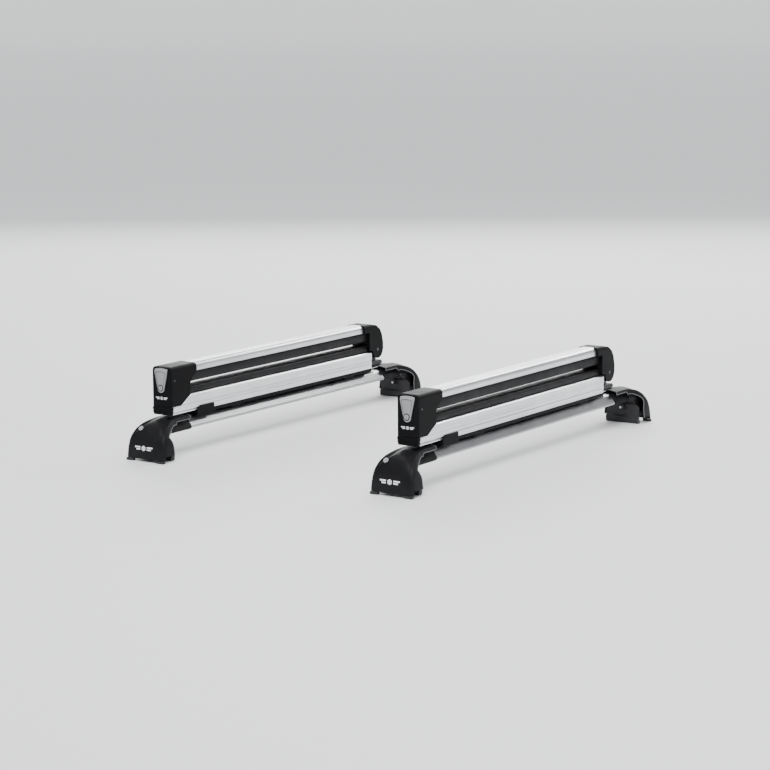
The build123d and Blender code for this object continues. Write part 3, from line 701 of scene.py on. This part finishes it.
# ---- push button -----------------------------------------------------------------------------
BUTTON_FOOT_Z = 155.7
BUTTON_TOP_Z = 213.4
BUTTON_TOP_DROP = 2.0                         # the top edge is this much lower at its corners
BUTTON_SIDE_Z = (163.0, 203.0)                # the straight part of the sides
BUTTON_HALF = (9.1, 18.4)                     # half widths at its ends
BUTTON_FOOT_R = 7.4
BUTTON_TOP_FLARE = 0.3                        # how much more half width at the very top
BUTTON_FACE_Y = -485.6
BUTTON_CROWN = 0.9
BUTTON_LEAN = (204.0, 12.0, 3.6)              # top leans back: from this height, over this, by this
BUTTON_EDGE_R = 1.4
PANEL_BORDER = 2.4                            # between the sides and the sunken panel
PANEL_TOP_MARGIN = 4.5                        # how much wider the border is at the top
PANEL_SLOPE = 0.9
PANEL_DEPTH = 0.5
BUTTON_COLUMNS = 44
BUTTON_ROWS = 90
BUTTON_BACK = 2.2

BUTTON_LOCK_AT = Vector((0.0, -485.5, 167.0))
BUTTON_LOCK_HOLE = 6.5
BUTTON_RING_R = 7.2
BUTTON_RING_BEAD = 1.1
BUTTON_RING_LIFT = 0.3
FRONT_TO_BACK = Vector((0.0, 1.0, 0.0))
UPWARDS = Vector((0.0, 0.0, 1.0))

# The dark line round the panel, painted shade of its sunken edge, as shares of the half width and
# of the height.
SHADE_LINE_SIDE = ((0.72, 0.3), (0.82, 0.82))
SHADE_LINE_RISE = 0.06
SHADE_LINE_SIDE_STEPS = 20
SHADE_LINE_ARC_STEPS = 8                            # to a quarter turn
SHADE_LINE_BEAD = 0.55
SHADE_LINE_LIFT = 0.15


def button_half_width(z):
    low, high = BUTTON_SIDE_Z
    narrow, wide = BUTTON_HALF
    if z < low:
        return narrow * math.sqrt(max(0.0, 1 - ((low - z) / BUTTON_FOOT_R) ** 2))
    if z < high:
        return narrow + (wide - narrow) * (z - low) / (high - low)
    return wide + BUTTON_TOP_FLARE * (z - high) / (BUTTON_TOP_Z - high)


def button_point(a, v):
    """A point of the button's crowned face: a from -1 to 1 across it, v from 0 to 1 up it."""
    top = BUTTON_TOP_Z - BUTTON_TOP_DROP * a * a
    z = BUTTON_FOOT_Z + v * (top - BUTTON_FOOT_Z)
    half = button_half_width(z)
    edge = min(half * (1 - abs(a)), top - z)
    panel = min(half * (1 - abs(a)), top - z - PANEL_TOP_MARGIN, z - BUTTON_FOOT_Z)
    lean_from, lean_over, lean_by = BUTTON_LEAN
    depth = BUTTON_FACE_Y - BUTTON_CROWN * (1 - a * a) + lean_by * ease((z - lean_from) / lean_over)
    if edge < BUTTON_EDGE_R:
        fall = BUTTON_EDGE_R - edge
        depth += BUTTON_EDGE_R - math.sqrt(max(0.0, BUTTON_EDGE_R ** 2 - fall ** 2))
    depth += PANEL_DEPTH * ease((panel - PANEL_BORDER) / PANEL_SLOPE)
    return Vector((a * half, depth, z))


def panel_border():
    """The border of the button's sunken panel as (a, v): up one side, over an arc and down."""
    (a_low, v_low), (a_high, v_high) = SHADE_LINE_SIDE
    right = []
    for k in range(SHADE_LINE_SIDE_STEPS + 1):
        t = k / SHADE_LINE_SIDE_STEPS
        right.append((a_low + (a_high - a_low) * t, v_low + (v_high - v_low) * t))
    for k in range(1, SHADE_LINE_ARC_STEPS):
        t = math.pi / 2 * k / SHADE_LINE_ARC_STEPS
        right.append((a_high * math.cos(t), v_high + SHADE_LINE_RISE * math.sin(t)))
    return [(-a, v) for a, v in right] + [(0.0, v_high + SHADE_LINE_RISE)] + list(reversed(right))


def make_buttons():
    columns = [-math.cos(math.pi * c / BUTTON_COLUMNS) for c in range(BUTTON_COLUMNS + 1)]
    levels = [(1 - math.cos(math.pi * r / BUTTON_ROWS)) / 2 for r in range(BUTTON_ROWS + 1)]
    front = skin([[button_point(a, v) for a in columns] for v in levels], closed=False)
    face = backed(bored(front, BUTTON_LOCK_AT, FRONT_TO_BACK, BUTTON_LOCK_HOLE), BUTTON_BACK)
    border = [button_point(a, v) - SHADE_LINE_LIFT * FRONT_TO_BACK for a, v in panel_border()]
    shade_line = tube(border, SHADE_LINE_BEAD)
    seat = BUTTON_LOCK_AT - BUTTON_RING_LIFT * FRONT_TO_BACK
    ring = circle(seat, BUTTON_RING_R, RING_STEPS, along=UPWARDS)
    bezel = tube(ring, BUTTON_RING_BEAD, closed=True)
    for unit in UNITS:
        node = f"{unit}_push_button"
        make_piece(f"{node}_face", face, MATERIALS["button_plastic"], node, unit, replaces=(node,))
        # A dark bead round the sunken panel: painted shade of the panel's edge.
        make_piece(f"{node}_seam", shade_line, MATERIALS["seam_plastic"], node, unit)
        # The ring round the button's lock takes the dark cover plastic: painted shade round the
        # lock.
        make_piece(f"{node}_lock_ring", bezel, MATERIALS["cover_plastic"], node, unit)


SPRING_ENDS = (-480.9, -465.9)                # y of its wire's middle at both ends
SPRING_Z = 200.0
SPRING_R = 4.2
SPRING_WIRE = 0.5
SPRING_TURNS = 4.7
SPRING_STEPS = 16                             # to a turn


def make_springs():
    """Return springs behind the buttons."""
    near, far = SPRING_ENDS
    steps = SPRING_STEPS * SPRING_TURNS
    path = []
    for k in range(round(steps) + 1):
        t = 2 * math.pi * k / SPRING_STEPS
        y = near + (far - near) * k / steps
        path.append((SPRING_R * math.cos(t), y, SPRING_Z + SPRING_R * math.sin(t)))
    coil = tube(path, SPRING_WIRE)
    for unit, x in UNITS.items():
        node = f"{unit}_button_spring"
        spring = make_piece(f"{node}_coil", coil, MATERIALS["steel"], f"{unit}_arm", unit,
                            replaces=(node,))
        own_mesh(spring)


# ---- rubber pads, collars and strips ---------------------------------------------------------
END_GAP = 0.8                                 # length of a swept piece's rounded ends
PAD_HALF = 20.0
PAD_ROOT = (10.0, 2.4)                        # half width and depth of the root in its extrusion
# The pad's side as steps inwards and heights above its back, then as shares of its height.
PAD_LIP = ((2.4, 0.1), (0.5, 0.3), (0.3, 1.3), (1.5, 2.1), (0.9, 3.2))
PAD_BULGE = ((0.2, 0.3), (0.0, 0.48))
PAD_SHOULDER_R = 7.0
PAD_SHOULDER_STEPS = 8
PAD_FACE_STEPS = 36
PAD_RIB_PITCH = 4.3
PAD_RIB_DEPTH = 0.6
PAD_STEP = 22.0
PAD_INSET = 0.6
PADS = (                                      # name, body, face and back in z, ends in y
    ("upper_pad", "arm", 171.0, 196.0, (-408.8, 339.8)),
    ("lower_pad", "slider", 161.0, 143.0, (-408.4, 339.8)),
)


def pad_section(face_z, back_z):
    """A rubber pad's ring in (x, z): rooted in its extrusion, lipped, bulging, with fine ribs."""
    height = abs(face_z - back_z)
    up = 1 if face_z > back_z else -1
    half, r = PAD_HALF, PAD_SHOULDER_R
    root_half, root_depth = PAD_ROOT
    side = [(root_half, -root_depth), (root_half, PAD_LIP[0][1])]
    side += [(half - x, t) for x, t in PAD_LIP]
    side += [(half - x, share * height) for x, share in PAD_BULGE]
    for k in range(PAD_SHOULDER_STEPS + 1):
        t = math.pi / 2 * k / PAD_SHOULDER_STEPS
        side.append((half - r + r * math.cos(t), height - r + r * math.sin(t)))
    for k in range(1, PAD_FACE_STEPS + 1):
        x = (half - r) * (1 - k / PAD_FACE_STEPS)
        rib = (math.cos(2 * math.pi * x / PAD_RIB_PITCH) - 1) / 2
        side.append((x, height + PAD_RIB_DEPTH * rib))
    ring = side + [(-x, t) for x, t in reversed(side[:-1])]
    return [(x, back_z + up * t) for x, t in ring]


def swept(section, ys, inset):
    """A ring in (x, z) swept along y; the first and last rings are drawn in a little."""
    middle_x = sum(x for x, _ in section) / len(section)
    middle_z = sum(z for _, z in section) / len(section)
    small = [(x - math.copysign(inset, x - middle_x), z - math.copysign(inset, z - middle_z))
             for x, z in section]
    rings = [small] + [section] * (len(ys) - 2) + [small]
    return skin([[(x, y, z) for x, z in ring] for y, ring in zip(ys, rings)])


def places_along(start, end, step):
    """Places along y, with close ones at both ends for rounded ends."""
    count = round((end - start) / step)
    inner = end - start - 2 * END_GAP
    return [start, *(start + END_GAP + inner * k / count for k in range(count + 1)), end]


def make_pads():
    for name, body, face_z, back_z, ends in PADS:
        shape = swept(pad_section(face_z, back_z), places_along(*ends, PAD_STEP), PAD_INSET)
        for unit in UNITS:
            node = f"{unit}_{name}"
            pad = make_piece(f"{node}_rubber", shape, MATERIALS["pad_rubber"], f"{unit}_{body}",
                             unit, replaces=(node,))


BAR_CIRCLES = (                               # x, z and radius; the bar's section goes round them
    (24.0, 65.0, 4.0),
    (6.0, 75.0, 13.0),
    (-6.0, 75.0, 13.0),
    (-33.0, 70.0, 3.5),
)
BAR_STEPS = 72
COLLAR_START = -480.0
COLLAR_ROWS = 71                              # one to a millimetre
COLLAR_WALL = 1.7
COLLAR_RIB = (6.0, 0.5)                       # pitch and height
COLLAR_RIBBED = (4, 62)                       # rows with ribs between these two
COLLAR_LIP_ROW = 66
COLLAR_LIP_WALL = 1.9
COLLAR_FIT = 0.08                             # gap to the bar
COLLAR_MOUTH = ((-408.6, 1.0), (-407.2, 0.7), (-407.0, COLLAR_FIT), (COLLAR_START, COLLAR_FIT))

STRIP_SIDE = (                                # half of its ring in (x, z), from root to slit
    (7.0, 83.5), (7.0, 84.7), (4.8, 84.9), (4.8, 87.3),
    (4.3, 87.9), (2.2, 88.0), (0.5, 87.7), (0.15, 86.0),
)
STRIP_ENDS = (-400.0, 400.0)
STRIP_STEP = 40.0
STRIP_INSET = 0.2

FOOT_PAD_HALF = 41.0                          # its grooved part in x
FOOT_PAD_OVER = (1.0, 0.2)                    # how far its last two rings lie beyond that
FOOT_PAD_Y = (-541.0, -508.0)
FOOT_PAD_Z = (15.0, 19.0)
FOOT_PAD_EDGE = 0.6
FOOT_PAD_GROOVE = 0.9
FOOT_PAD_STEP = 2.0


def bar_ring(grow):
    """The roof bar's wing section in (x, z), grown outwards."""
    ring = []
    for k in range(BAR_STEPS):
        out = (math.cos(2 * math.pi * k / BAR_STEPS), math.sin(2 * math.pi * k / BAR_STEPS))
        x, z, r = max(BAR_CIRCLES, key=lambda c: c[0] * out[0] + c[1] * out[1] + c[2])
        ring.append((x + (r + grow) * out[0], z + (r + grow) * out[1]))
    return ring


def collar_thickness(k):
    """The collar's thickness at one row: ribs round it, then a plain lip."""
    pitch, height = COLLAR_RIB
    first, last = COLLAR_RIBBED
    if k >= COLLAR_LIP_ROW:
        return COLLAR_LIP_WALL
    if first < k < last:
        return COLLAR_WALL + height * max(0.0, math.cos(2 * math.pi * k / pitch))
    return COLLAR_WALL


def collar_shape():
    """A sleeve over the bar with moulded ribs round it and a thin lip at its mouth."""
    profile = [(COLLAR_START + k, collar_thickness(k)) for k in range(COLLAR_ROWS)]
    profile += COLLAR_MOUTH
    rows = [[(x, y, z) for x, z in bar_ring(thick)] for y, thick in profile]
    return skin(rows + rows[:1], caps=False)


def strip_shape():
    """The rubber in the bar's slot: a root under the lips and two lips that meet at a slit."""
    section = [(-x, z) for x, z in reversed(STRIP_SIDE)] + list(STRIP_SIDE)
    return swept(section[::-1], places_along(*STRIP_ENDS, STRIP_STEP), STRIP_INSET)


def foot_pad_shape():
    """A foot's rubber pad with grooves across its underside."""
    (front, back), (bottom, top), edge = FOOT_PAD_Y, FOOT_PAD_Z, FOOT_PAD_EDGE
    count = round(2 * FOOT_PAD_HALF / FOOT_PAD_STEP) + 1
    inner = [FOOT_PAD_STEP * k - FOOT_PAD_HALF for k in range(count)]
    outer, next_one = (FOOT_PAD_HALF + over for over in FOOT_PAD_OVER)
    places = [-outer, -next_one, *inner, next_one, outer]
    rows = []
    for i, x in enumerate(places):
        groove = FOOT_PAD_GROOVE if x in inner and i % 3 == 0 else 0.0
        pull = edge if abs(x) == outer else 0.0
        near, far = front + pull, back - pull
        low, high = bottom + groove + pull, top - pull
        rows.append([(x, near, low + edge), (x, near + edge, low), (x, far - edge, low),
                     (x, far, low + edge), (x, far, high), (x, near, high)])
    return skin(rows)


def both_sides(shape):
    points, faces = shape
    return joined(shape, ([(x, -y, z) for x, y, z in points], faces))


def on_both_bars(shape):
    points, faces = shape
    return joined(*(([(x + shift, y, z) for x, y, z in points], faces) for shift in UNITS.values()))


def make_rubber():
    for name, shape, node in (("collar_sleeves", both_sides(collar_shape()), "bar_collars"),
                              ("slot_strips", strip_shape(), "track_strips"),
                              ("foot_rubbers", both_sides(foot_pad_shape()), "foot_pads")):
        make_piece(name, on_both_bars(shape), MATERIALS["black_rubber"], "root", replaces=(node,))


HOUSING_FRONT_Y = -482.0
HOUSING_MARK = (0.0, 142.0, 0.78)             # x, z and scale


def make_housing_marks():
    mark = generic_mark(*HOUSING_MARK, lambda x, z: HOUSING_FRONT_Y)
    for unit in UNITS:
        make_piece(f"{unit}_latch_housing_mark", mark, MATERIALS["mark_white"], f"{unit}_arm", unit,
                   smooth=False)


make_camera()
make_lights()
make_stage()
dress_frame()
make_foot_covers()
make_buttons()
make_springs()
make_pads()
make_rubber()
make_housing_marks()
